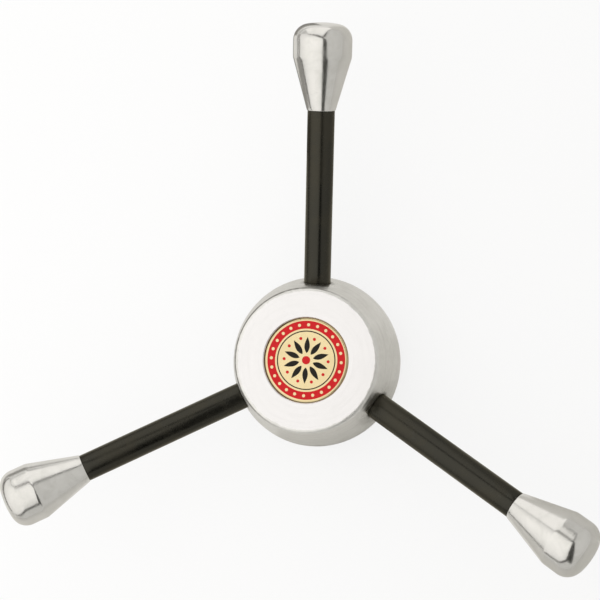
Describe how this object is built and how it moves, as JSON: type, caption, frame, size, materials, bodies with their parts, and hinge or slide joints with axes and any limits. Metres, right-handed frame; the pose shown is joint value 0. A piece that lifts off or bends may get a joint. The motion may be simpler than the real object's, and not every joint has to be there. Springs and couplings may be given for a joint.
{
  "type": "lathe speed handle",
  "caption": "Spoked speed handle for a lathe shaft: a turned conical hub with a bored rear boss, black rods that lean forward and tapered polished metal knobs.",
  "frame": {"origin": "centre of the shaft bore's mouth, in the end face of the rear boss", "axes": "+Z along the hub's axis from the rear boss to the front face, +Y towards the first spoke"},
  "size_m": [0.2066, 0.1813, 0.0566],
  "materials": {
    "turned_aluminium": "satin turned",
    "badge_brass": "brass plate with a printed field",
    "black_rod": "semi-gloss black on steel",
    "polished_aluminium": "polished",
    "screw_steel": "black oxide"
  },
  "bodies": {
    "root": {"hub": "turned_aluminium", "badge": "badge_brass", "spoke_1": "black_rod", "spoke_2": "black_rod", "spoke_3": "black_rod", "knob_1": "polished_aluminium", "knob_2": "polished_aluminium", "knob_3": "polished_aluminium", "set_screw": "screw_steel"}
  },
  "joints": []
}
